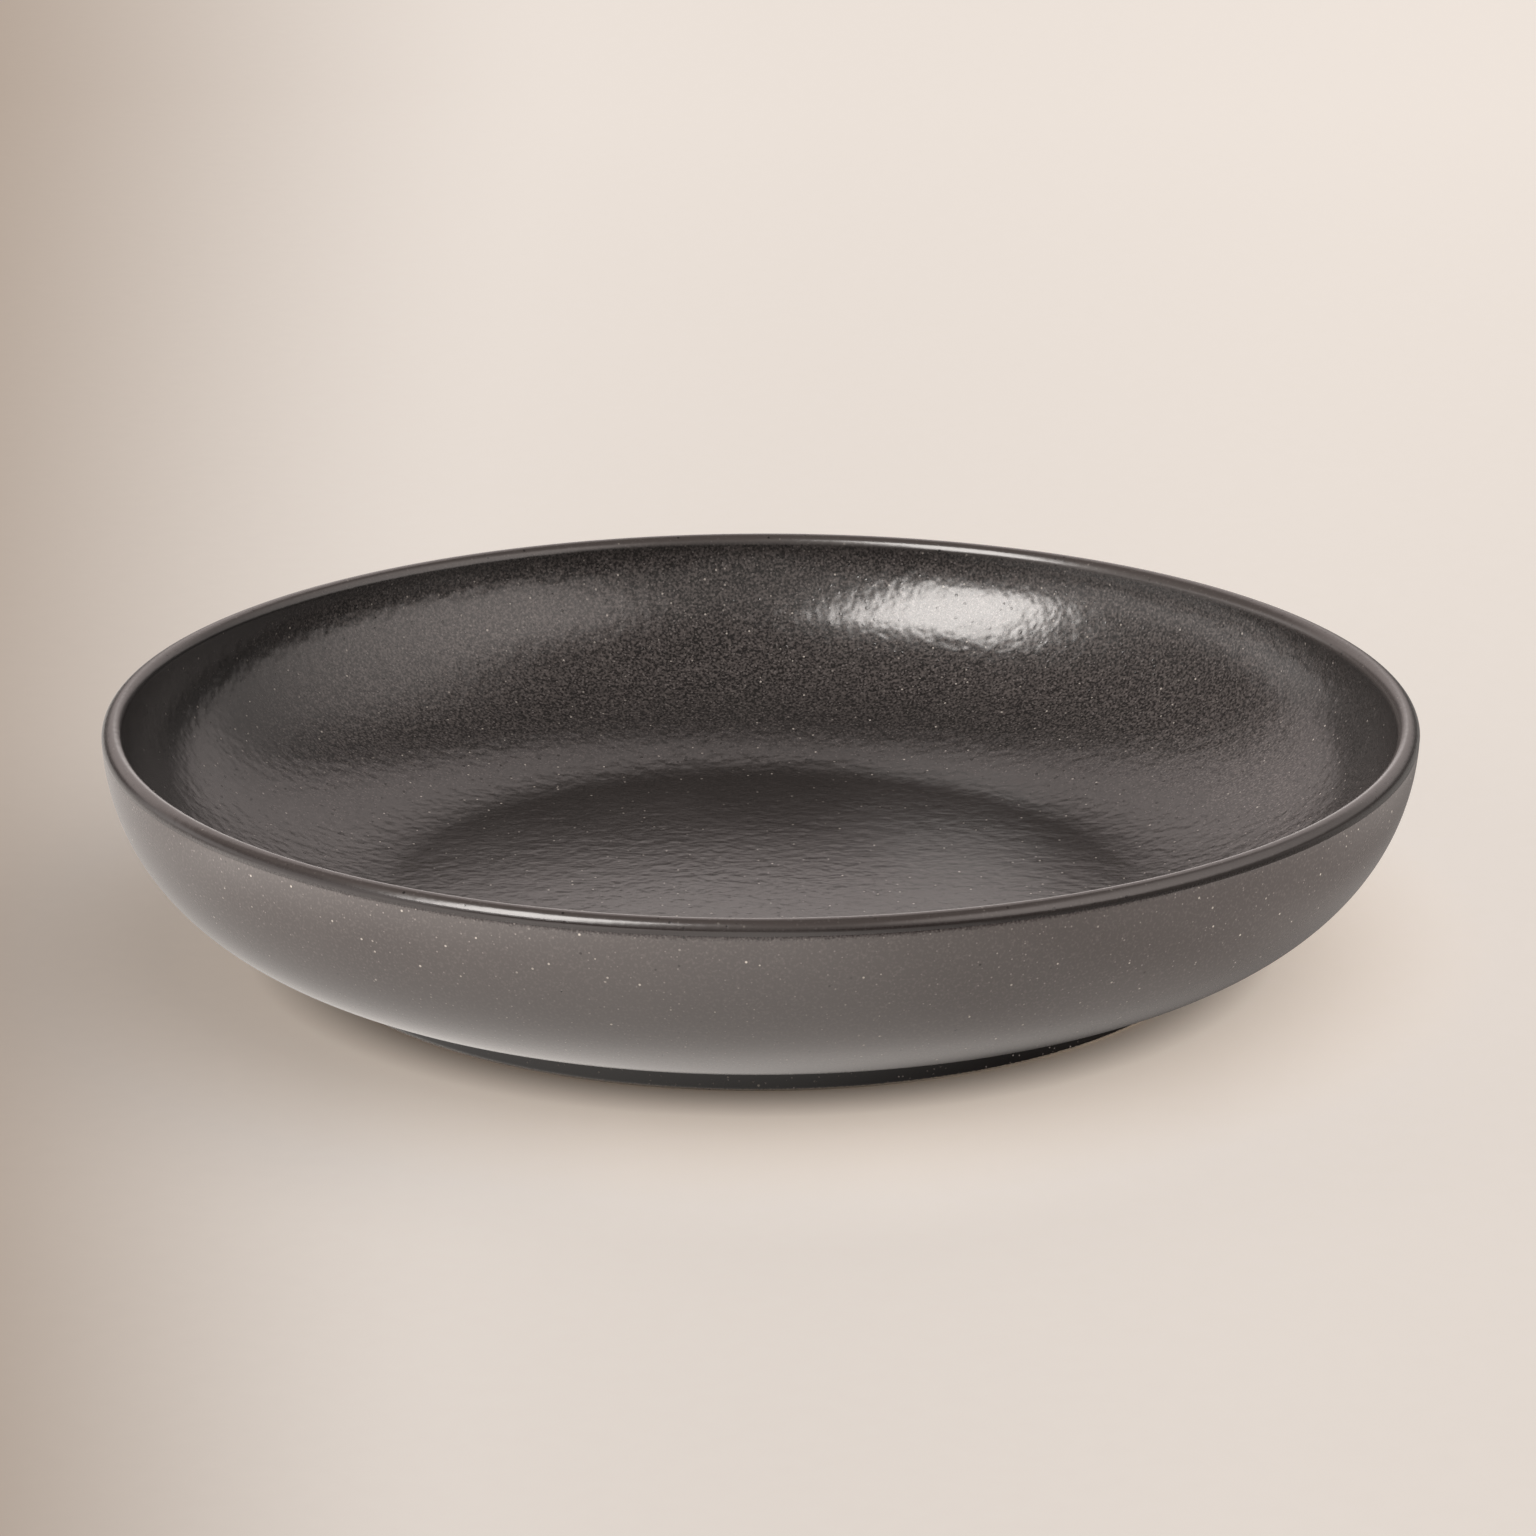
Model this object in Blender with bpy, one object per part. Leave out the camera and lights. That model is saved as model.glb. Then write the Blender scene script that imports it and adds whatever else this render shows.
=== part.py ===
# A wide, shallow stoneware serving bowl: clay body, luted foot ring and three coats of glaze.
# Every piece is turned about the Z axis. The origin is on that axis, at the level the foot stands on.
import math

import bpy
from mathutils import Vector

# Driving dimensions, in metres, of the glazed and fired bowl
RIM_DIAMETER = 0.3200        # across the outside of the lip
BOWL_HEIGHT = 0.0583         # from the table to the top of the lip
LIP_THICKNESS = 0.0053       # the lip is a half round of this width
BASE_DIAMETER = 0.1924       # level part of the underside
BASE_LIFT = 0.0050           # from the table to the level part of the underside
WELL_FLOOR_DIAMETER = 0.1800  # level part of the floor inside
FLOOR_THICKNESS = 0.0062     # from the underside to the floor inside
FOOT_DIAMETER = 0.2230       # outside of the glazed foot, where it would meet the table
FOOT_WIDTH = 0.0088          # across the glazed foot, where it would meet the table
FOOT_EDGE_RADIUS = 0.0008    # round on the foot's two bottom edges
BARE_STRIP = 0.0007          # height of unglazed clay at the bottom of the foot
GLAZE_THICKNESS = 0.0005     # each coat of glaze
GLAZE_LAP = 0.0042           # how far below the top of the lip the inside glaze ends on the outside
SEAT_GAP = 0.0003            # clearance between pieces that touch

# Shape of the turned curves
WALL_DRAFT = math.radians(2.8)   # lean of the wall where it leaves the lip
FOOT_DRAFT = math.radians(6.0)   # lean of both faces of the foot
OUTER_WALL_FULLNESS = 0.53       # how far each curve holds to its end tangents, 0 to 1
OUTER_BELLY_FULLNESS = 0.685
WELL_WALL_FULLNESS = 0.66
WELL_COVE_FULLNESS = 0.31

# Facets
TURN_STEPS = 60
WALL_STEPS = 10
LIP_STEPS = 5
EDGE_STEPS = 3
MERGE_DISTANCE = 0.00001     # joins the turned points that lie on the axis

# Finishes: colour as linear red, green and blue, then roughness
CLAY = ((0.29, 0.25, 0.21), 0.85)
INSIDE_GLAZE = ((0.036, 0.031, 0.028), 0.18)
OUTSIDE_GLAZE = ((0.105, 0.093, 0.087), 0.42)


def arc(centre, radius, start, end, steps):
    """Points round a circle, with the outward normal at each."""
    angles = [start + (end - start) * i / steps for i in range(steps + 1)]
    normals = [Vector((math.cos(angle), math.sin(angle))) for angle in angles]
    return [(centre + normal * radius, normal) for normal in normals]


def swept_curve(start, start_direction, end, end_direction, fullness, steps):
    """A cubic between two tangent lines, with the normal on its left at each point."""
    # The two tangents meet at the corner that the curve rounds off
    determinant = start_direction.cross(end_direction)
    corner = start + start_direction * ((end - start).cross(end_direction) / determinant)
    start_handle = start.lerp(corner, fullness[0])
    end_handle = end.lerp(corner, fullness[1])
    skin = []
    for i in range(steps + 1):
        t = i / steps
        u = 1 - t
        point = start * u**3 + start_handle * 3 * u * u * t + end_handle * 3 * u * t * t + end * t**3
        tangent = (start_handle - start) * u * u + (end_handle - start_handle) * 2 * u * t
        tangent = (tangent + (end - end_handle) * t * t).normalized()
        skin.append((point, Vector((-tangent.y, tangent.x))))
    return skin


def lowered(skin, depth):
    """The points of a skin, moved into the material by a depth."""
    return [point - normal * depth for point, normal in skin]


def trimmed(points, inside):
    """The run of points where a linear measure is positive, ended where it crosses zero."""
    kept = []
    for start, end in zip(points, points[1:]):
        at_start, at_end = inside(start), inside(end)
        if at_start >= 0:
            kept.append(start)
        if at_start * at_end < 0:
            kept.append(start.lerp(end, at_start / (at_start - at_end)))
    if inside(points[-1]) >= 0:
        kept.append(points[-1])
    return kept


LIP_RADIUS = LIP_THICKNESS / 2
LIP_CENTRE = Vector((RIM_DIAMETER / 2 - LIP_RADIUS, BOWL_HEIGHT - LIP_RADIUS))
DOWN_THE_WALL = Vector((-math.sin(WALL_DRAFT), -math.cos(WALL_DRAFT)))
INWARD = Vector((-1, 0))
UP = Vector((0, 1))
CLAY_DEPTH = GLAZE_THICKNESS + SEAT_GAP
FLOOR_LEVEL = BASE_LIFT + FLOOR_THICKNESS


def well_skin():
    """Glazed surface from the middle of the floor, up the inside, to the top of the lip."""
    lip = arc(LIP_CENTRE, LIP_RADIUS, math.pi / 2, math.pi - WALL_DRAFT, LIP_STEPS)
    floor_edge = Vector((WELL_FLOOR_DIAMETER / 2, FLOOR_LEVEL))
    fullness = (WELL_WALL_FULLNESS, WELL_COVE_FULLNESS)
    wall = swept_curve(lip[-1][0], DOWN_THE_WALL, floor_edge, INWARD, fullness, WALL_STEPS)
    # Down the inside the clay lies to the left, so these normals turn round to face the well
    wall = [(point, -normal) for point, normal in wall]
    down = lip + wall[1:] + [(Vector((0, FLOOR_LEVEL)), UP)]
    return down[::-1]


def outer_skin():
    """Glazed surface from the top of the lip, down the outside, to the middle of the underside."""
    lip = arc(LIP_CENTRE, LIP_RADIUS, math.pi / 2, -WALL_DRAFT, LIP_STEPS)
    base_edge = Vector((BASE_DIAMETER / 2, BASE_LIFT))
    fullness = (OUTER_WALL_FULLNESS, OUTER_BELLY_FULLNESS)
    wall = swept_curve(lip[-1][0], DOWN_THE_WALL, base_edge, INWARD, fullness, WALL_STEPS)
    return lip + wall[1:] + [(Vector((0, BASE_LIFT)), -UP)]


def outer_foot_face(depth):
    """Radius, at each height, of the foot's outer face lowered by a depth."""
    radius = FOOT_DIAMETER / 2 - depth / math.cos(FOOT_DRAFT)
    return lambda height: radius + height * math.tan(FOOT_DRAFT)


def inner_foot_face(depth):
    """Radius, at each height, of the foot's inner face lowered by a depth."""
    radius = FOOT_DIAMETER / 2 - FOOT_WIDTH + depth / math.cos(FOOT_DRAFT)
    return lambda height: radius - height * math.tan(FOOT_DRAFT)


def within(face):
    return lambda point: face(point.y) - point.x


def beyond(face):
    return lambda point: point.x - face(point.y)


def on_face(face, height):
    return Vector((face(height), height))


def finish_material(name, finish):
    colour, roughness = finish
    material = bpy.data.materials.new(name)
    material.use_nodes = True
    shader = material.node_tree.nodes["Principled BSDF"]
    shader.inputs["Base Color"].default_value = (*colour, 1)
    shader.inputs["Roughness"].default_value = roughness
    shader.inputs["Metallic"].default_value = 0
    return material


def turned(name, outline, closed, finish):
    """A piece turned from an outline that runs down its outer side."""
    count = len(outline)
    edges = [(i, i + 1) for i in range(count - 1)]
    if closed:
        edges.append((count - 1, 0))
    mesh = bpy.data.meshes.new(name)
    mesh.from_pydata([(point.x, 0, point.y) for point in outline], edges, [])
    mesh.materials.append(finish_material(name, finish))
    piece = bpy.data.objects.new(name, mesh)
    bpy.context.scene.collection.objects.link(piece)
    turn = piece.modifiers.new("turn", "SCREW")
    turn.axis = "Z"
    turn.angle = 2 * math.pi
    turn.steps = TURN_STEPS
    turn.render_steps = TURN_STEPS
    turn.use_merge_vertices = True
    turn.merge_threshold = MERGE_DISTANCE
    turn.use_smooth_shade = True
    return piece


def clay_body():
    """Wall, floor and lip in clay, one coat of glaze smaller than the finished bowl."""
    outline = lowered(well_skin(), CLAY_DEPTH) + lowered(outer_skin(), CLAY_DEPTH)[1:]
    turned("clay_body", outline, False, CLAY)


def foot_ring():
    """Clay ring whose top follows the belly and whose bottom edges are rounded."""
    outside, inside = outer_foot_face(CLAY_DEPTH), inner_foot_face(CLAY_DEPTH)
    belly = lowered(outer_skin(), CLAY_DEPTH - SEAT_GAP)
    seat = trimmed(trimmed(belly, within(outside)), beyond(inside))[::-1]
    # Each round touches its face of the foot and the table
    straight_down = -math.pi / 2
    inset = Vector((FOOT_EDGE_RADIUS * math.tan(math.pi / 4 - FOOT_DRAFT / 2), 0))
    lift = Vector((0, FOOT_EDGE_RADIUS))
    outer_round = arc(on_face(outside, 0) - inset + lift, FOOT_EDGE_RADIUS,
                      -FOOT_DRAFT, straight_down, EDGE_STEPS)
    inner_round = arc(on_face(inside, 0) + inset + lift, FOOT_EDGE_RADIUS,
                      straight_down, FOOT_DRAFT - math.pi, EDGE_STEPS)
    outline = seat + [point for point, normal in outer_round + inner_round]
    turned("foot_ring", outline, True, CLAY)


def inside_glaze():
    """Coat that lines the well, goes over the lip and ends below it on the outside."""
    lap = BOWL_HEIGHT - GLAZE_LAP

    def face(depth):
        over_the_lip = trimmed(lowered(outer_skin(), depth), lambda point: point.y - lap)
        return lowered(well_skin(), depth) + over_the_lip[1:]

    turned("inside_glaze", face(0) + face(GLAZE_THICKNESS)[::-1], False, INSIDE_GLAZE)


def outside_glaze():
    """Coat from the lap line down the wall, into the crease and down the foot."""
    lap = BOWL_HEIGHT - GLAZE_LAP - SEAT_GAP

    def face(depth):
        foot = outer_foot_face(depth)
        wall = trimmed(lowered(outer_skin(), depth), lambda point: lap - point.y)
        return trimmed(wall, beyond(foot)) + [on_face(foot, BARE_STRIP)]

    turned("outside_glaze", face(0) + face(GLAZE_THICKNESS)[::-1], True, OUTSIDE_GLAZE)


def base_glaze():
    """Coat on the underside, which turns down the inner face of the foot."""
    def face(depth):
        foot = inner_foot_face(depth)
        underside = trimmed(lowered(outer_skin(), depth), within(foot))[::-1]
        return underside + [on_face(foot, BARE_STRIP)]

    turned("base_glaze", face(GLAZE_THICKNESS) + face(0)[::-1], False, OUTSIDE_GLAZE)


for old in list(bpy.data.objects):
    bpy.data.objects.remove(old)
clay_body()
foot_ring()
inside_glaze()
outside_glaze()
base_glaze()
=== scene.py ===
import math

import bpy
from mathutils import Matrix, Vector


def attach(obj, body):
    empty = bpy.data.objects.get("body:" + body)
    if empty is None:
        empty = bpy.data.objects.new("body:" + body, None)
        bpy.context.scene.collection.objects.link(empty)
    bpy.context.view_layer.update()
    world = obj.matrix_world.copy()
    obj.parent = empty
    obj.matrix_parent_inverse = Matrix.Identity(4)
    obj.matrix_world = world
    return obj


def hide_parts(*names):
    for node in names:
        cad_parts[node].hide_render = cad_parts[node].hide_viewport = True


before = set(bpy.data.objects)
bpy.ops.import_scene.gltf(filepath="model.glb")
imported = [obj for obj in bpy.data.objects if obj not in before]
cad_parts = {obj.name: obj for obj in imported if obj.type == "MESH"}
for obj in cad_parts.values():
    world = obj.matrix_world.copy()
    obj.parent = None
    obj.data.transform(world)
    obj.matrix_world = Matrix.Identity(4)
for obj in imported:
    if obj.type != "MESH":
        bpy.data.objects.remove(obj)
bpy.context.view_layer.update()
MM = 0.001

# Sizes of the bowl, in metres, as its solids have them
RIM_DIAMETER = 0.3200
BOWL_HEIGHT = 0.0583
LIP_THICKNESS = 0.0053
BASE_DIAMETER = 0.1924
BASE_LIFT = 0.0050
WELL_FLOOR_DIAMETER = 0.1800
FLOOR_THICKNESS = 0.0062
FOOT_DIAMETER = 0.2230
FOOT_WIDTH = 0.0088
FOOT_EDGE_RADIUS = 0.0008
BARE_STRIP = 0.0007
GLAZE_THICKNESS = 0.0005
GLAZE_LAP = 0.0042
SEAT_GAP = 0.0003
WALL_DRAFT = math.radians(2.8)
FOOT_DRAFT = math.radians(6.0)
OUTER_WALL_FULLNESS = 0.53
OUTER_BELLY_FULLNESS = 0.685
WELL_WALL_FULLNESS = 0.66
WELL_COVE_FULLNESS = 0.31

# How finely the pieces are turned
TURN_STEPS = 512
WALL_STEPS = 76
LIP_STEPS = 14
FLOOR_STEPS = 30
HIDDEN_STEPS = 16
EDGE_STEPS = 6
UNSEEN_STEPS = 2             # in a run that is trimmed away
MERGE_DISTANCE = 0.01 * MM   # joins the turned points at the seam and on the axis

LIP_RADIUS = LIP_THICKNESS / 2
LIP_CENTRE = Vector((RIM_DIAMETER / 2 - LIP_RADIUS, BOWL_HEIGHT - LIP_RADIUS))
DOWN_THE_WALL = Vector((-math.sin(WALL_DRAFT), -math.cos(WALL_DRAFT)))
INWARD = Vector((-1, 0))
UP = Vector((0, 1))
CLAY_DEPTH = GLAZE_THICKNESS + SEAT_GAP
FLOOR_LEVEL = BASE_LIFT + FLOOR_THICKNESS


def arc(centre, radius, start, end, steps):
    """Points round a circle, with the outward normal at each."""
    angles = [start + (end - start) * i / steps for i in range(steps + 1)]
    normals = [Vector((math.cos(angle), math.sin(angle))) for angle in angles]
    return [(centre + normal * radius, normal) for normal in normals]


def swept_curve(start, start_direction, end, end_direction, fullness, steps):
    """A cubic between two tangent lines, with the normal on its left at each point."""
    determinant = start_direction.cross(end_direction)
    corner = start + start_direction * ((end - start).cross(end_direction) / determinant)
    start_handle = start.lerp(corner, fullness[0])
    end_handle = end.lerp(corner, fullness[1])
    skin = []
    for i in range(steps + 1):
        t = i / steps
        u = 1 - t
        point = start * u**3 + start_handle * 3 * u * u * t + end_handle * 3 * u * t * t + end * t**3
        tangent = (start_handle - start) * u * u + (end_handle - start_handle) * 2 * u * t
        tangent = (tangent + (end - end_handle) * t * t).normalized()
        skin.append((point, Vector((-tangent.y, tangent.x))))
    return skin


def level_run(start_radius, level, facing, steps):
    """Points on a level face, from a radius to the bowl's axis."""
    return [(Vector((start_radius * (1 - i / steps), level)), facing) for i in range(1, steps + 1)]


def well_skin(wall_steps, lip_steps, floor_steps):
    """Glazed surface from the middle of the floor, up the inside, to the top of the lip."""
    lip = arc(LIP_CENTRE, LIP_RADIUS, math.pi / 2, math.pi - WALL_DRAFT, lip_steps)
    floor_edge = Vector((WELL_FLOOR_DIAMETER / 2, FLOOR_LEVEL))
    fullness = (WELL_WALL_FULLNESS, WELL_COVE_FULLNESS)
    wall = swept_curve(lip[-1][0], DOWN_THE_WALL, floor_edge, INWARD, fullness, wall_steps)
    wall = [(point, -normal) for point, normal in wall]
    down = lip + wall[1:] + level_run(floor_edge.x, FLOOR_LEVEL, UP, floor_steps)
    return down[::-1]


def outer_skin(wall_steps, lip_steps, floor_steps):
    """Glazed surface from the top of the lip, down the outside, to the middle of the underside."""
    lip = arc(LIP_CENTRE, LIP_RADIUS, math.pi / 2, -WALL_DRAFT, lip_steps)
    base_edge = Vector((BASE_DIAMETER / 2, BASE_LIFT))
    fullness = (OUTER_WALL_FULLNESS, OUTER_BELLY_FULLNESS)
    wall = swept_curve(lip[-1][0], DOWN_THE_WALL, base_edge, INWARD, fullness, wall_steps)
    return lip + wall[1:] + level_run(base_edge.x, BASE_LIFT, -UP, floor_steps)


def lowered(skin, depth):
    """A skin moved into the material by a depth."""
    return [(point - normal * depth, normal) for point, normal in skin]


def trimmed(skin, inside):
    """The run of a skin where a linear measure of the point is positive, ended where it crosses zero."""
    kept = []
    for (start, start_normal), (end, end_normal) in zip(skin, skin[1:]):
        at_start, at_end = inside(start), inside(end)
        if at_start >= 0:
            kept.append((start, start_normal))
        if at_start * at_end < 0:
            share = at_start / (at_start - at_end)
            kept.append((start.lerp(end, share), start_normal.lerp(end_normal, share).normalized()))
    if inside(skin[-1][0]) >= 0:
        kept.append(skin[-1])
    return kept


def outer_foot_face(depth):
    """Radius, at each height, of the foot's outer face lowered by a depth."""
    radius = FOOT_DIAMETER / 2 - depth / math.cos(FOOT_DRAFT)
    return lambda height: radius + height * math.tan(FOOT_DRAFT)


def inner_foot_face(depth):
    """Radius, at each height, of the foot's inner face lowered by a depth."""
    radius = FOOT_DIAMETER / 2 - FOOT_WIDTH + depth / math.cos(FOOT_DRAFT)
    return lambda height: radius - height * math.tan(FOOT_DRAFT)


def within(face):
    """How far a point lies on the axis's side of a face."""
    return lambda point: face(point.y) - point.x


def beyond(face):
    """How far a point lies outside a face."""
    return lambda point: point.x - face(point.y)


def down_the_foot(skin, foot, facing, steps):
    """A skin carried on from the crease that it ends at, down a face of the foot to the bare strip."""
    crease = skin[-1][0].y
    levels = [crease + (BARE_STRIP - crease) * i / steps for i in range(1, steps + 1)]
    return skin + [(Vector((foot(level), level)), facing) for level in levels]


# Where the belly runs into the foot
CREASE_LEVEL = trimmed(outer_skin(WALL_STEPS, UNSEEN_STEPS, 1), within(outer_foot_face(0)))[0][0].y


def linear(hex_colour):
    """An sRGB hex colour as linear red, green, blue and alpha."""
    channels = [int(hex_colour[i:i + 2], 16) / 255 for i in (1, 3, 5)]
    return tuple(c / 12.92 if c <= 0.04045 else ((c + 0.055) / 1.055) ** 2.4 for c in channels) + (1,)


def node(tree, kind, sockets=None, **settings):
    """Adds a node with its settings; each socket takes another node's output or a plain value."""
    added = tree.nodes.new(kind)
    for name, value in settings.items():
        setattr(added, name, value)
    for key, value in (sockets or {}).items():
        if isinstance(value, bpy.types.NodeSocket):
            tree.links.new(value, added.inputs[key])
        else:
            added.inputs[key].default_value = value
    return added


def new_material(name):
    """An empty material, with the tree that its nodes go in."""
    material = bpy.data.materials.new(name)
    material.use_nodes = True
    material.node_tree.nodes.clear()
    return material, material.node_tree


# Colours, as they look in even light
GLAZE_BLACK = "#191716"
GLAZE_BLACK_CLOUD = "#252221"
GLAZE_BLACK_GRAIN = "#544e4c"
GLAZE_THIN = "#47413f"
GLAZE_LAP_BROWN = "#201716"
GLAZE_PIT = "#100e0d"
CRYSTAL_GREY = "#635d5b"
CRYSTAL_PALE = "#a9a19a"
SATIN_GREY = "#544f4e"
SATIN_GREY_CLOUD = "#5c5755"
SATIN_GRAIN = "#6a6462"
SATIN_FAINT_SPECK = "#948c88"
SATIN_PALE_SPECK = "#d6cec4"
# Painted shade on the foot, under the belly
FOOT_PAINTED_SHADE = "#181514"
CLAY_BUFF = "#a89a8b"
CLAY_SAND = "#c2b5a4"
CLAY_IRON = "#5d4c3f"
PAPER = "#ded6cf"
# Painted shade on the paper, to the left of the bowl
PAPER_PAINTED_SHADE = "#a29386"
# Colour of the painted reflection of the paper in the glaze
PAPER_MIRRORED = "#f7f0ea"
LAMP_WHITE = "#fffaf6"
WASH_WHITE = "#fffdfb"

# The paper's size, and its brightness beyond the light that falls on it
PAPER_RADIUS = 4.0
PAPER_SIDES = 64
PAPER_GLOW = 0.49            # painted light, to the camera
PAPER_GLOW_NEAR = 0.10       # to the camera, close to the foot, less for a painted contact shadow
PAPER_GLOW_FRONT = 0.12      # painted light added to the camera's, in front of the bowl
PAPER_SHINE = 1.6            # in the glaze, a painted reflection
PAPER_PAINTED_WARM_SHADE = (1.05, 0.985, 0.91, 1)   # painted warm shade close to the bowl
NO_TINT = (1, 1, 1, 1)

# Light of the room, as linear colours
ROOM_BACK = (0.96, 0.845, 0.815, 1)
ROOM_HORIZON = (1.75, 1.62, 1.57, 1)
ROOM_SIDE = (1.25, 1.18, 1.14, 1)
ROOM_FRONT = (0.39, 0.37, 0.35, 1)
ROOM_TOP = (0.07, 0.068, 0.066, 1)
ROOM_PANEL = (1.85, 1.68, 1.60, 1)
LAMP_DISTANCE = 3.0
AIM_HEIGHT = 0.03            # on the bowl's axis, where the soft boxes point

# The seen lap line runs a little above the solids' one and bows up towards the two sides
LAP_LEVEL = BOWL_HEIGHT - GLAZE_LAP + 0.8 * MM
LAP_BOW = 0.075              # rise of the line over the square of the distance to one side, per metre
LAP_EDGE = 2 * MM            # strip where the unevenness gives way to the line's ragged edge
LAP_PARTS = 5                # how much finer the rows are near the lap line
FINE_BELOW = 1.5 * MM        # how far below the line they are finer
GROOVE_REACH = 1.0 * MM      # above and below the lap line
GROOVE_DEPTH = 0.06 * MM
TUCK_TOP = 0.5 * MM          # how far the grey coat goes up behind the edge of the black one
TUCK_START = 0.08 * MM
TUCK_DEPTH = 0.44 * MM


def layered(tree, base, *layers):
    """A colour with others laid over it in turn, each as far as its share from 0 to 1 says."""
    under = linear(base) if isinstance(base, str) else base
    for share, colour in layers:
        over = linear(colour) if isinstance(colour, str) else colour
        under = node(tree, "ShaderNodeMix", {0: share, 6: under, 7: over}, data_type="RGBA").outputs[2]
    return under


def overlap(tree, *areas):
    """What several areas share, one times the other. Each is a share already, or a reading with where its
    area starts and where it is full, soft in between."""
    share = 1.0
    for area in areas:
        if isinstance(area, tuple):
            reading, start, full = area
            area = node(tree, "ShaderNodeMapRange", {"Value": reading, "From Min": start, "From Max": full},
                        interpolation_type="SMOOTHSTEP").outputs[0]
        share = node(tree, "ShaderNodeMath", {0: share, 1: area}, operation="MULTIPLY").outputs[0]
    return share


def specks(tree, place, spacing, size, bare):
    """Round specks, one to a cell of the spacing, each of its own strength and a share of them missing."""
    cells = node(tree, "ShaderNodeTexVoronoi", {"Vector": place, "Scale": 1 / spacing})
    reach = size / 2 / spacing
    chance = node(tree, "ShaderNodeSeparateColor", {"Color": cells.outputs["Color"]})
    strength = node(tree, "ShaderNodeMapRange", {"Value": chance.outputs["Red"], "From Min": bare})
    return overlap(tree, (cells.outputs["Distance"], 1.3 * reach, 0.7 * reach), strength.outputs[0])


def grainy_level(tree, place, grain, reach, bow=0.0):
    """Height above the table, shaken up and down by grains, for an edge that breaks up and may bow."""
    spot = node(tree, "ShaderNodeSeparateXYZ", {"Vector": place})
    square = node(tree, "ShaderNodeMath", {0: spot.outputs["X"], 1: 2.0}, operation="POWER")
    height = node(tree, "ShaderNodeMath", {0: square.outputs[0], 1: -bow, 2: spot.outputs["Z"]},
                  operation="MULTIPLY_ADD")
    grains = node(tree, "ShaderNodeTexNoise", {"Vector": place, "Scale": 1 / grain, "Detail": 2})
    shake = node(tree, "ShaderNodeMath", {0: grains.outputs["Fac"], 1: 0.5}, operation="SUBTRACT")
    return node(tree, "ShaderNodeMath", {0: shake.outputs[0], 1: reach, 2: height.outputs[0]},
                operation="MULTIPLY_ADD").outputs[0]


def black_share(tree, place):
    """Share of black near the lap line, where the two coats fade into each other in a soft band of
    grains that bows up towards the two sides and is fainter on the right."""
    level = grainy_level(tree, place, grain=0.45 * MM, reach=2.4 * MM, bow=LAP_BOW)
    spot = node(tree, "ShaderNodeSeparateXYZ", {"Vector": place})
    strength = node(tree, "ShaderNodeMapRange", {
        "Value": spot.outputs["X"], "From Min": 50 * MM, "From Max": 140 * MM,
        "To Min": 1.0, "To Max": 0.6})
    return node(tree, "ShaderNodeMapRange", {
        "Value": level, "From Min": LAP_LEVEL - 1.0 * MM, "From Max": LAP_LEVEL,
        "To Max": strength.outputs[0]}).outputs[0]


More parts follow.
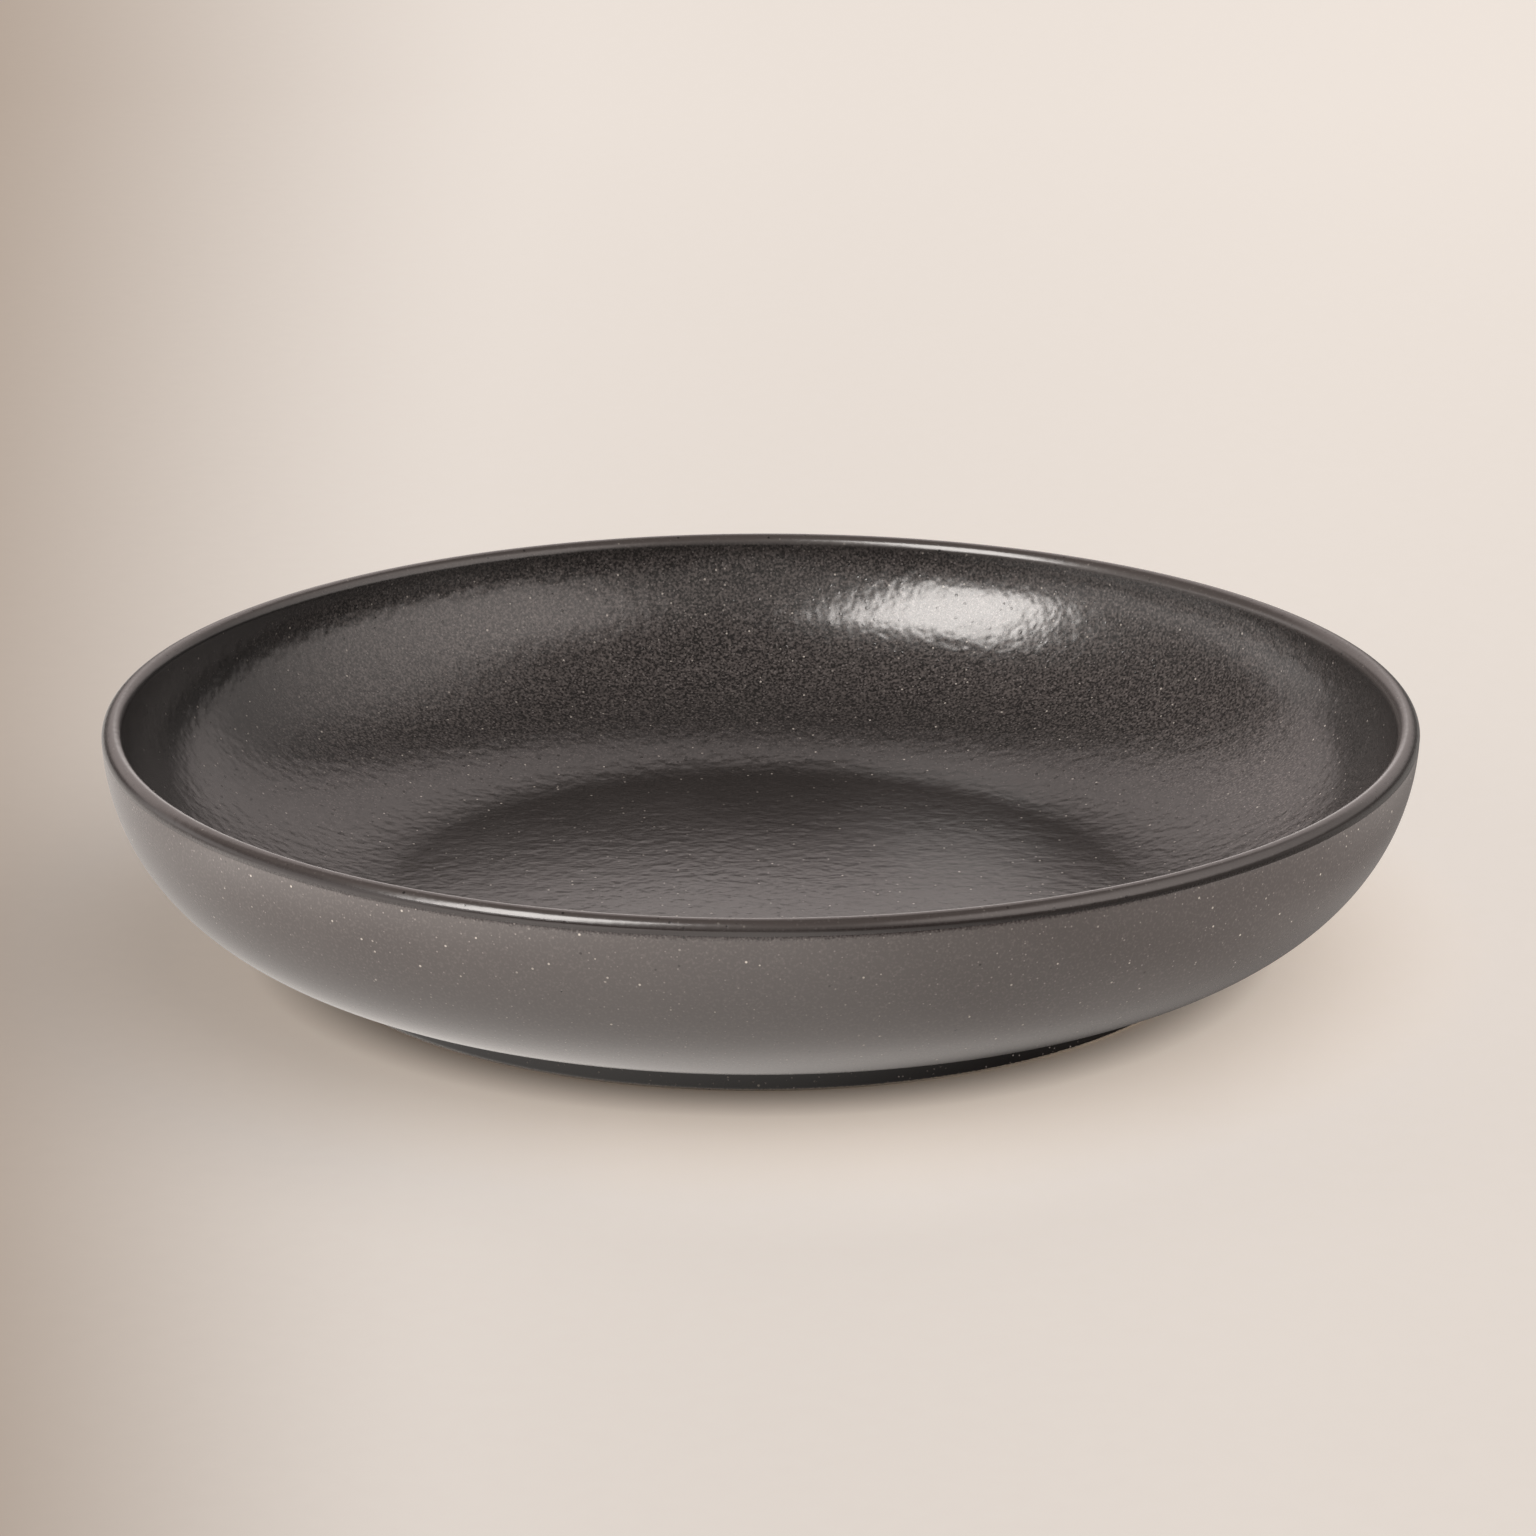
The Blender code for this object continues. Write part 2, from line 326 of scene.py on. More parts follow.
def black_gloss_glaze():
    """Iron-rich gloss glaze, sprayed and fired: near black, crowded with fine pale crystals, and with
    the soft dimples of orange peel that break up the edge of every reflection."""
    material, tree = new_material("sprayed_black_gloss_glaze")
    place = node(tree, "ShaderNodeTexCoord").outputs["Object"]
    spot = node(tree, "ShaderNodeSeparateXYZ", {"Vector": place})
    # Cloudy patches about 25 mm across, where the spray lay thicker, and a close grain all over
    clouds = node(tree, "ShaderNodeTexNoise", {"Vector": place, "Scale": 1 / (25 * MM), "Detail": 3})
    grain = node(tree, "ShaderNodeTexNoise", {"Vector": place, "Scale": 1 / (0.7 * MM), "Detail": 3})
    grain_share = node(tree, "ShaderNodeMapRange", {
        "Value": grain.outputs["Fac"], "From Min": 0.41, "From Max": 0.72})
    # Painted shade and light: the floor and the two ends of the well are painted darker, with less grain,
    # and the wall is painted paler, with more grain, up from the floor; there is less grain on the lip
    grain_after_painted_shade = node(tree, "ShaderNodeMapRange", {
        "Value": spot.outputs["Z"], "From Min": FLOOR_LEVEL + 0.3 * MM, "From Max": FLOOR_LEVEL + 15 * MM,
        "To Min": 0.3, "To Max": 1.22})
    smoothing = node(tree, "ShaderNodeMapRange", {
        "Value": spot.outputs["Z"], "From Min": BOWL_HEIGHT - 7 * MM, "From Max": BOWL_HEIGHT - 2.5 * MM,
        "To Min": 1.0, "To Max": 0.35})
    # Painted shade: the two ends of the well are darker
    aside = node(tree, "ShaderNodeMath", {0: spot.outputs["X"], 1: 10 * MM}, operation="SUBTRACT")
    aside = node(tree, "ShaderNodeMath", {0: aside.outputs[0]}, operation="ABSOLUTE")
    ends = node(tree, "ShaderNodeMapRange", {
        "Value": aside.outputs[0], "From Min": 118 * MM, "From Max": 143 * MM,
        "To Min": 1.0, "To Max": 0.25})
    grain_after_painted_shade = overlap(tree, grain_after_painted_shade.outputs[0], smoothing.outputs[0], ends.outputs[0])
    # Over the lip the glaze runs thin and breaks paler, further down on the right
    leaning = node(tree, "ShaderNodeMath", {0: spot.outputs["X"], 1: 0.005, 2: spot.outputs["Z"]},
                   operation="MULTIPLY_ADD")
    thin = node(tree, "ShaderNodeMapRange", {
        "Value": leaning.outputs[0], "From Min": BOWL_HEIGHT - 2.5 * MM, "From Max": BOWL_HEIGHT - 1.2 * MM,
        "To Max": 0.85})
    # Crystals 0.5 mm across, crowded; pale ones a little larger and further apart; and dark pits
    crystals = specks(tree, place, spacing=1.0 * MM, size=0.5 * MM, bare=0.2)
    pale_crystals = specks(tree, place, spacing=2.9 * MM, size=0.55 * MM, bare=0.3)
    pits = specks(tree, place, spacing=2.4 * MM, size=0.7 * MM, bare=0.2)
    layers = [
        (clouds.outputs["Fac"], GLAZE_BLACK_CLOUD),
        (overlap(tree, grain_share.outputs[0], grain_after_painted_shade), GLAZE_BLACK_GRAIN),
        (thin.outputs[0], GLAZE_THIN),
        (overlap(tree, crystals, grain_after_painted_shade), CRYSTAL_GREY),
        (overlap(tree, pale_crystals, smoothing.outputs[0]), CRYSTAL_PALE),
        (pits, GLAZE_PIT),
    ]
    # Outside the lip the coat gathers brown, and near its edge it breaks up over the grey one
    radius = node(tree, "ShaderNodeVectorMath", {0: place, 1: (1, 1, 0)}, operation="MULTIPLY")
    radius = node(tree, "ShaderNodeVectorMath", {0: radius.outputs[0]}, operation="LENGTH")
    outside = node(tree, "ShaderNodeMapRange", {
        "Value": radius.outputs["Value"], "From Min": LIP_CENTRE.x, "From Max": LIP_CENTRE.x + 0.5 * MM})
    for share, colour in ((thin.outputs[0], GLAZE_LAP_BROWN), (black_share(tree, place), SATIN_GREY)):
        without = node(tree, "ShaderNodeMath", {0: 1.0, 1: share}, operation="SUBTRACT")
        layers.append((overlap(tree, outside.outputs[0], without.outputs[0]), colour))
    # Orange peel: lumps about 3 mm across, pinholes between them and a fine tooth, all less on the lip
    peel = node(tree, "ShaderNodeTexNoise", {"Vector": place, "Scale": 1 / (3.2 * MM), "Detail": 1})
    tooth = node(tree, "ShaderNodeTexNoise", {"Vector": place, "Scale": 1 / (0.7 * MM), "Detail": 1})
    lumps = node(tree, "ShaderNodeBump", {
        "Height": peel.outputs["Fac"], "Distance": 0.16 * MM, "Strength": smoothing.outputs[0]})
    dents = node(tree, "ShaderNodeBump", {
        "Height": pits, "Distance": 0.05 * MM, "Strength": smoothing.outputs[0],
        "Normal": lumps.outputs["Normal"]}, invert=True)
    skin = node(tree, "ShaderNodeBump", {
        "Height": tooth.outputs["Fac"], "Distance": 0.008 * MM, "Strength": smoothing.outputs[0],
        "Normal": dents.outputs["Normal"]})
    # Cloudy in its gloss too, and a little less glossy where it runs thin
    gloss = node(tree, "ShaderNodeMapRange", {
        "Value": clouds.outputs["Fac"], "To Min": 0.18, "To Max": 0.26})
    gloss = node(tree, "ShaderNodeMath", {0: thin.outputs[0], 1: 0.02, 2: gloss.outputs[0]},
                 operation="MULTIPLY_ADD")
    shader = node(tree, "ShaderNodeBsdfPrincipled", {
        "Base Color": layered(tree, GLAZE_BLACK, *layers), "Roughness": gloss.outputs[0], "IOR": 1.65,
        "Normal": skin.outputs["Normal"]})
    node(tree, "ShaderNodeOutputMaterial", {"Surface": shader.outputs["BSDF"]})
    return material


def grey_satin_glaze(name, down_the_wall):
    """Satin glaze, sprayed or dipped, and fired: even warm grey with a soft sheen, a close grain and pale
    specks of the clay's feldspar. Down the wall, grains of the black coat drift below the lap line, the
    foot below the crease is painted dark as shade under the belly, and the wiped bottom edge breaks to pale
    clay."""
    material, tree = new_material(name)
    place = node(tree, "ShaderNodeTexCoord").outputs["Object"]
    clouds = node(tree, "ShaderNodeTexNoise", {"Vector": place, "Scale": 1 / (30 * MM), "Detail": 4})
    grain = node(tree, "ShaderNodeTexNoise", {"Vector": place, "Scale": 1 / (0.7 * MM), "Detail": 2})
    grain_share = node(tree, "ShaderNodeMapRange", {
        "Value": grain.outputs["Fac"], "From Min": 0.5, "From Max": 0.8})
    layers = [(clouds.outputs["Fac"], SATIN_GREY_CLOUD), (grain_share.outputs[0], SATIN_GRAIN)]
    if down_the_wall:
        # Painted shade: below the crease the foot is painted dark, for the shade under the belly
        painted_foot_shade = node(tree, "ShaderNodeMapRange", {
            "Value": grainy_level(tree, place, grain=0.8 * MM, reach=0.3 * MM),
            "From Min": CREASE_LEVEL, "From Max": CREASE_LEVEL - 0.3 * MM})
        wiped = node(tree, "ShaderNodeMapRange", {
            "Value": grainy_level(tree, place, grain=0.6 * MM, reach=0.4 * MM),
            "From Min": BARE_STRIP + 0.45 * MM, "From Max": BARE_STRIP + 0.2 * MM})
        layers += [(black_share(tree, place), GLAZE_LAP_BROWN), (painted_foot_shade.outputs[0], FOOT_PAINTED_SHADE),
                   (wiped.outputs[0], CLAY_BUFF)]
    # Faint specks 0.4 mm across, pale ones a little larger and further apart, and a few dark pits
    layers += [(specks(tree, place, spacing=1.5 * MM, size=0.4 * MM, bare=0.1), SATIN_FAINT_SPECK),
               (specks(tree, place, spacing=3.3 * MM, size=0.55 * MM, bare=0.4), SATIN_PALE_SPECK),
               (specks(tree, place, spacing=5.5 * MM, size=0.7 * MM, bare=0.4), GLAZE_PIT)]
    tooth = node(tree, "ShaderNodeTexNoise", {"Vector": place, "Scale": 1 / (0.8 * MM), "Detail": 2})
    skin = node(tree, "ShaderNodeBump", {"Height": tooth.outputs["Fac"], "Distance": 0.014 * MM})
    sheen = node(tree, "ShaderNodeMapRange", {
        "Value": clouds.outputs["Fac"], "To Min": 0.19, "To Max": 0.25})
    shader = node(tree, "ShaderNodeBsdfPrincipled", {
        "Base Color": layered(tree, SATIN_GREY, *layers), "Roughness": sheen.outputs[0], "IOR": 1.52,
        "Normal": skin.outputs["Normal"]})
    node(tree, "ShaderNodeOutputMaterial", {"Surface": shader.outputs["BSDF"]})
    return material


def bare_stoneware(name):
    """Fired stoneware left unglazed and wiped clean: buff and dry, with sand grains and iron spots."""
    material, tree = new_material(name)
    place = node(tree, "ShaderNodeTexCoord").outputs["Object"]
    sand = node(tree, "ShaderNodeTexNoise", {"Vector": place, "Scale": 1 / (0.6 * MM), "Detail": 3})
    iron = specks(tree, place, spacing=1.8 * MM, size=0.5 * MM, bare=0.1)
    colour = layered(tree, CLAY_BUFF, (sand.outputs["Fac"], CLAY_SAND), (iron, CLAY_IRON))
    grit = node(tree, "ShaderNodeBump", {"Height": sand.outputs["Fac"], "Distance": 0.05 * MM})
    dryness = node(tree, "ShaderNodeMapRange", {
        "Value": sand.outputs["Fac"], "To Min": 0.75, "To Max": 0.95})
    shader = node(tree, "ShaderNodeBsdfPrincipled", {
        "Base Color": colour, "Roughness": dryness.outputs[0], "IOR": 1.5,
        "Normal": grit.outputs["Normal"]})
    node(tree, "ShaderNodeOutputMaterial", {"Surface": shader.outputs["BSDF"]})
    return material


def turning_tree():
    """Sweeps a profile once round the bowl's axis, and lets the fired surface run a little uneven."""
    tree = bpy.data.node_groups.new("turned_piece", "GeometryNodeTree")
    kinds = {"Profile": "Geometry", "Turn steps": "Int", "Unevenness": "Float", "Wave length": "Float",
             "Raggedness": "Float", "Rag length": "Float", "Seed": "Float", "Finish": "Material"}
    for name, kind in kinds.items():
        tree.interface.new_socket(name, in_out="INPUT", socket_type="NodeSocket" + kind)
    tree.interface.new_socket("Piece", in_out="OUTPUT", socket_type="NodeSocketGeometry")
    given = node(tree, "NodeGroupInput").outputs
    # A sheet of points: one column for each step of the turn, one row for each point of the profile
    points = node(tree, "GeometryNodeAttributeDomainSize", {"Geometry": given["Profile"]})
    columns = node(tree, "ShaderNodeMath", {0: given["Turn steps"], 1: 1}, operation="ADD")
    sheet = node(tree, "GeometryNodeMeshGrid", {"Vertices X": columns.outputs[0],
                                                "Vertices Y": points.outputs["Point Count"]})
    index = node(tree, "GeometryNodeInputIndex")
    row = node(tree, "ShaderNodeMath", {0: index.outputs[0], 1: points.outputs["Point Count"]},
               operation="FLOORED_MODULO")
    column = node(tree, "ShaderNodeMath", {0: index.outputs[0], 1: points.outputs["Point Count"]},
                  operation="DIVIDE")
    column = node(tree, "ShaderNodeMath", {0: column.outputs[0]}, operation="FLOOR")
    turn = node(tree, "ShaderNodeMath", {0: column.outputs[0], 1: given["Turn steps"]}, operation="DIVIDE")
    turn = node(tree, "ShaderNodeMath", {0: turn.outputs[0], 1: -2 * math.pi}, operation="MULTIPLY")
    # What the profile says at this row: place, facing, and how far the two kinds of unevenness reach
    said = {"place": ("FLOAT_VECTOR", node(tree, "GeometryNodeInputPosition"))}
    for name, kind in (("facing", "FLOAT_VECTOR"), ("uneven", "FLOAT"), ("ragged", "FLOAT")):
        said[name] = (kind, node(tree, "GeometryNodeInputNamedAttribute", {"Name": name}, data_type=kind))
    read = {}
    for name, (kind, value) in said.items():
        sample = node(tree, "GeometryNodeSampleIndex", {
            "Geometry": given["Profile"], "Value": value.outputs[0], "Index": row.outputs[0]},
            data_type=kind)
        read[name] = sample.outputs[0]
    for name in ("place", "facing"):
        read[name] = node(tree, "ShaderNodeVectorRotate", {"Vector": read[name], "Angle": turn.outputs[0]},
                          rotation_type="Z_AXIS").outputs[0]

    def straying(length, amount, share, detail):
        """How far a point strays: waves of a length, as high as an amount and the share of its row say."""
        scale = node(tree, "ShaderNodeMath", {0: 1, 1: given[length]}, operation="DIVIDE")
        waves = node(tree, "ShaderNodeTexNoise", {
            "Vector": read["place"], "W": given["Seed"], "Scale": scale.outputs[0], "Detail": detail},
            noise_dimensions="4D")
        stray = node(tree, "ShaderNodeMath", {0: waves.outputs[0], 1: 0.5}, operation="SUBTRACT")
        for factor in (given[amount], read[share]):
            stray = node(tree, "ShaderNodeMath", {0: stray.outputs[0], 1: factor}, operation="MULTIPLY")
        return stray.outputs[0]

    # Unevenness lifts the surface along its facing, and raggedness moves a cut edge up and down
    lift = node(tree, "ShaderNodeVectorMath", {
        0: read["facing"], "Scale": straying("Wave length", "Unevenness", "uneven", 1)}, operation="SCALE")
    drop = node(tree, "ShaderNodeCombineXYZ", {"Z": straying("Rag length", "Raggedness", "ragged", 2)})
    offset = node(tree, "ShaderNodeVectorMath", {0: lift.outputs[0], 1: drop.outputs[0]}, operation="ADD")
    placed = node(tree, "GeometryNodeSetPosition", {
        "Geometry": sheet.outputs["Mesh"], "Position": read["place"], "Offset": offset.outputs[0]})
    # The seam and the middle close up, and the finish goes on
    closed = node(tree, "GeometryNodeMergeByDistance", {
        "Geometry": placed.outputs[0], "Distance": MERGE_DISTANCE})
    smooth = node(tree, "GeometryNodeSetShadeSmooth", {"Geometry": closed.outputs[0]})
    real = node(tree, "GeometryNodeRealizeInstances", {"Geometry": smooth.outputs[0]})
    dressed = node(tree, "GeometryNodeSetMaterial", {
        "Geometry": real.outputs[0], "Material": given["Finish"]})
    node(tree, "NodeGroupOutput", {"Piece": dressed.outputs[0]})
    return tree


TURNING = turning_tree()


def turned(name, profile, finish, closed=True, seed=0.0, unevenness=0.0, wave_length=10 * MM,
           raggedness=0.0, rag_length=2 * MM):
    """A piece turned from rows of (point, facing, uneven, ragged) that run down its outer side."""
    rows = profile + profile[:1] if closed else profile
    mesh = bpy.data.meshes.new(name + "_profile")
    mesh.from_pydata([(point.x, 0, point.y) for point, *rest in rows],
                     [(i, i + 1) for i in range(len(rows) - 1)], [])
    facing = mesh.attributes.new("facing", "FLOAT_VECTOR", "POINT")
    uneven = mesh.attributes.new("uneven", "FLOAT", "POINT")
    ragged = mesh.attributes.new("ragged", "FLOAT", "POINT")
    for i, (point, normal, uneven_share, ragged_share) in enumerate(rows):
        facing.data[i].vector = (normal.x, 0, normal.y)
        uneven.data[i].value = uneven_share
        ragged.data[i].value = ragged_share
    outline = bpy.data.objects.new(name + "_outline", mesh)
    bpy.context.scene.collection.objects.link(outline)
    modifier = outline.modifiers.new("turn", "NODES")
    modifier.node_group = TURNING
    values = {"Turn steps": TURN_STEPS, "Finish": finish, "Seed": seed, "Unevenness": unevenness,
              "Wave length": wave_length, "Raggedness": raggedness, "Rag length": rag_length}
    for socket in TURNING.interface.items_tree:
        if socket.in_out == "INPUT" and socket.name in values:
            modifier[socket.identifier] = values[socket.name]
    evaluated = outline.evaluated_get(bpy.context.evaluated_depsgraph_get())
    shape = bpy.data.meshes.new_from_object(evaluated)
    shape.name = name
    outline.modifiers.remove(modifier)
    bpy.data.objects.remove(outline)
    bpy.data.meshes.remove(mesh)
    piece = bpy.data.objects.new(name, shape)
    bpy.context.scene.collection.objects.link(piece)
    return piece


def rows_of(skin, uneven=0.0, ragged=0.0):
    """The rows of a skin for turning, all with the same shares of unevenness and raggedness."""
    return [(point, normal, uneven, ragged) for point, normal in skin]


def lap_dip(level):
    """How deep the two coats dip where they meet, in a shallow groove round the lap line."""
    share = max(0.0, 1 - abs(level - LAP_LEVEL) / GROOVE_REACH)
    return GROOVE_DEPTH * share * share * (3 - 2 * share)


def divided(skin):
    """A skin with each of its stretches near the lap line divided into parts."""
    finer = []
    for (start, start_normal), (end, end_normal) in zip(skin, skin[1:]):
        above = min(start.y, end.y) >= LAP_LEVEL + LAP_EDGE
        below = max(start.y, end.y) <= LAP_LEVEL - FINE_BELOW
        steps = 1 if above or below else LAP_PARTS
        finer += [(start.lerp(end, i / steps), start_normal.lerp(end_normal, i / steps).normalized())
                  for i in range(steps)]
    return finer + skin[-1:]


def gloss_coat(finish):
    """The black coat: floor, wall and lip, ended by a ragged edge just below the lip outside."""
    def face(depth, wall_steps, lip_steps, floor_steps):
        over = trimmed(lowered(outer_skin(wall_steps, lip_steps, floor_steps), depth),
                       lambda point: point.y - LAP_LEVEL)
        return lowered(well_skin(wall_steps, lip_steps, floor_steps), depth), over[1:]

    well, over = face(0, WALL_STEPS, LIP_STEPS, FLOOR_STEPS)
    well_back, over_back = face(GLAZE_THICKNESS, HIDDEN_STEPS, LIP_STEPS // 2, 1)
    hidden = (well_back + over_back)[::-1]
    rows = rows_of(well, uneven=1.0)
    for point, normal in divided(over):
        reach = max(0.0, 1 - (point.y - LAP_LEVEL) / LAP_EDGE)
        rows.append((point - normal * lap_dip(point.y), normal, 1 - reach, reach))
    # On the hidden side only the end moves with the ragged edge
    rows += rows_of(hidden[:1], ragged=1.0) + rows_of(hidden[1:])
    return turned("inside_glaze_coat", rows, finish, closed=False, seed=1.0, unevenness=0.14 * MM,
                  wave_length=9 * MM, raggedness=0.12 * MM, rag_length=1.6 * MM)


def satin_coat(finish):
    """The grey coat: from the lap line down the wall, into the crease and down the foot."""
    facing = Vector((math.cos(FOOT_DRAFT), -math.sin(FOOT_DRAFT)))

    def face(depth, wall_steps, foot_steps):
        foot = outer_foot_face(depth)
        wall = trimmed(lowered(outer_skin(wall_steps, LIP_STEPS, 1), depth),
                       lambda point: LAP_LEVEL + TUCK_TOP - point.y)
        return down_the_foot(trimmed(wall, beyond(foot)), foot, facing, foot_steps)

    rows = []
    for point, normal in divided(face(0, WALL_STEPS, EDGE_STEPS)):
        # The top of the coat tucks in behind the edge of the black one
        tuck = TUCK_DEPTH * max(0.0, (point.y - LAP_LEVEL - TUCK_START) / (TUCK_TOP - TUCK_START))
        near = max(0.0, 1 - abs(point.y - LAP_LEVEL) / LAP_EDGE)
        dip = lap_dip(min(point.y, LAP_LEVEL)) + tuck
        rows.append((point - normal * dip, normal, 1 - near, 0.0))
    rows += rows_of(face(GLAZE_THICKNESS, HIDDEN_STEPS, 1)[::-1])
    return turned("outside_glaze_coat", rows, finish, seed=2.0, unevenness=0.10 * MM, wave_length=14 * MM)


def base_coat(finish):
    """The grey coat on the underside, which turns down the inner face of the foot."""
    facing = Vector((-math.cos(FOOT_DRAFT), -math.sin(FOOT_DRAFT)))

    def face(depth, wall_steps, floor_steps, foot_steps):
        foot = inner_foot_face(depth)
        belly = lowered(outer_skin(wall_steps, UNSEEN_STEPS, floor_steps), depth)
        return down_the_foot(trimmed(belly, within(foot))[::-1], foot, facing, foot_steps)

    rows = rows_of(face(GLAZE_THICKNESS, HIDDEN_STEPS, 1, 1))
    rows += rows_of(face(0, WALL_STEPS, FLOOR_STEPS, EDGE_STEPS)[::-1], uneven=1.0)
    return turned("base_glaze_coat", rows, finish, closed=False, seed=3.0, unevenness=0.10 * MM,
                  wave_length=14 * MM)


def standing_ring(finish):
    """The clay ring under the bowl, with its bottom edges rounded by the wiping sponge."""
    outside, inside = outer_foot_face(CLAY_DEPTH), inner_foot_face(CLAY_DEPTH)
    belly = lowered(outer_skin(WALL_STEPS, UNSEEN_STEPS, 1), CLAY_DEPTH - SEAT_GAP)
    seat = trimmed(trimmed(belly, within(outside)), beyond(inside))[::-1]
    straight_down = -math.pi / 2
    inset = Vector((FOOT_EDGE_RADIUS * math.tan(math.pi / 4 - FOOT_DRAFT / 2), 0))
    lift = Vector((0, FOOT_EDGE_RADIUS))
    outer_round = arc(Vector((outside(0), 0)) - inset + lift, FOOT_EDGE_RADIUS,
                      -FOOT_DRAFT, straight_down, EDGE_STEPS)
    inner_round = arc(Vector((inside(0), 0)) + inset + lift, FOOT_EDGE_RADIUS,
                      straight_down, FOOT_DRAFT - math.pi, EDGE_STEPS)
    rows = rows_of([(point, -normal) for point, normal in seat]) + rows_of(outer_round + inner_round)
    return turned("foot_ring_bare", rows, finish)


inside_coat = gloss_coat(black_gloss_glaze())
outside_coat = satin_coat(grey_satin_glaze("sprayed_grey_satin_glaze", down_the_wall=True))
under_coat = base_coat(grey_satin_glaze("dipped_grey_satin_glaze", down_the_wall=False))
ring = standing_ring(bare_stoneware("wiped_bare_stoneware"))
for piece, cad_node, finish_slot in ((inside_coat, "inside_glaze", "gloss_glaze"),
                                     (outside_coat, "outside_glaze", "satin_glaze"),
                                     (under_coat, "base_glaze", "base_satin_glaze"),
                                     (ring, "foot_ring", "bare_stoneware")):
    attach(piece, "root")
    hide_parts(cad_node)

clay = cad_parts["clay_body"]
clay.data.materials.clear()
clay.data.materials.append(bare_stoneware("pressed_stoneware"))


# Places on the paper are in metres from the bowl's axis: x to the right, y to the back, reach outward
def paper_colour(tree, place, x, y, reach):
    """Pale, with faint fibres; painted shade to the left of the bowl, painted warm shade close to it and
    painted light a little to the right.
    """
    fibres = node(tree, "ShaderNodeTexNoise", {"Vector": place, "Scale": 1 / (6 * MM), "Detail": 4})
    tint = node(tree, "ShaderNodeMapRange", {
        "Value": fibres.outputs["Fac"], "To Min": 0.985, "To Max": 1.015})
    # The painted shade is a fan that opens to the back, from a point 1.4 m in front of the bowl's axis
    depth = node(tree, "ShaderNodeMath", {0: y, 1: 1.4}, operation="ADD")
    depth = node(tree, "ShaderNodeMath", {0: depth.outputs[0], 1: 1.0}, operation="MAXIMUM")
    slant = node(tree, "ShaderNodeMath", {0: x, 1: depth.outputs[0]}, operation="DIVIDE")
    further = node(tree, "ShaderNodeMapRange", {
        "Value": y, "From Min": 0.15, "From Max": 1.05, "To Min": 0.0, "To Max": 0.021})
    slant = node(tree, "ShaderNodeMath", {0: slant.outputs[0], 1: further.outputs[0]},
                 operation="SUBTRACT").outputs[0]
    # Well in front of the bowl and far out to the left the painted shade fades and it is pale again
    shade = overlap(tree, (slant, -0.050, -0.180), (y, -1.10, -0.30), (slant, -0.60, -0.15))
    # Painted light: the paper is a little paler to the right
    bright = node(tree, "ShaderNodeMapRange", {
        "Value": slant, "From Min": -0.01, "From Max": 0.10, "To Min": 1.0, "To Max": 1.03},
        interpolation_type="SMOOTHSTEP")
    tint = node(tree, "ShaderNodeMath", {0: tint.outputs[0], 1: bright.outputs[0]}, operation="MULTIPLY")
    colour = node(tree, "ShaderNodeVectorMath", {
        0: layered(tree, PAPER, (shade, PAPER_PAINTED_SHADE)), "Scale": tint.outputs[0]}, operation="SCALE")
    # Painted warm shade: close to the bowl the paper is warmer
    away = node(tree, "ShaderNodeMapRange", {"Value": reach, "From Min": 0.115, "From Max": 0.18})
    warmth = layered(tree, PAPER_PAINTED_WARM_SHADE, (away.outputs[0], NO_TINT))
    return node(tree, "ShaderNodeVectorMath", {0: colour.outputs[0], 1: warmth},
                operation="MULTIPLY").outputs[0]


def painted_paper_glow(tree, x, y, reach):
    """Painted light that the paper shows to the camera alone: less close to the foot, a painted contact
    shadow, more towards the back, and a little more in front of the bowl, where the shadow is short."""
    clear = node(tree, "ShaderNodeMapRange", {
        "Value": reach, "From Min": 0.111, "From Max": 0.127,
        "To Min": PAPER_GLOW_NEAR, "To Max": PAPER_GLOW})
    painted_light_to_back = node(tree, "ShaderNodeMapRange", {
        "Value": y, "From Min": -0.3, "From Max": 1.0, "To Min": 0.92, "To Max": 1.17})
    glow = node(tree, "ShaderNodeMath", {0: clear.outputs[0], 1: painted_light_to_back.outputs[0]}, operation="MULTIPLY")
    aside = node(tree, "ShaderNodeMath", {0: x}, operation="ABSOLUTE")
    in_front = node(tree, "ShaderNodeMapRange", {
        "Value": aside.outputs[0], "From Min": 0.10, "From Max": 0.03, "To Max": PAPER_GLOW_FRONT})
    painted_light_in_front = overlap(tree, (reach, 0.115, 0.145), (reach, 0.21, 0.15))
    return node(tree, "ShaderNodeMath", {0: painted_light_in_front, 1: in_front.outputs[0], 2: glow.outputs[0]},
                operation="MULTIPLY_ADD").outputs[0]


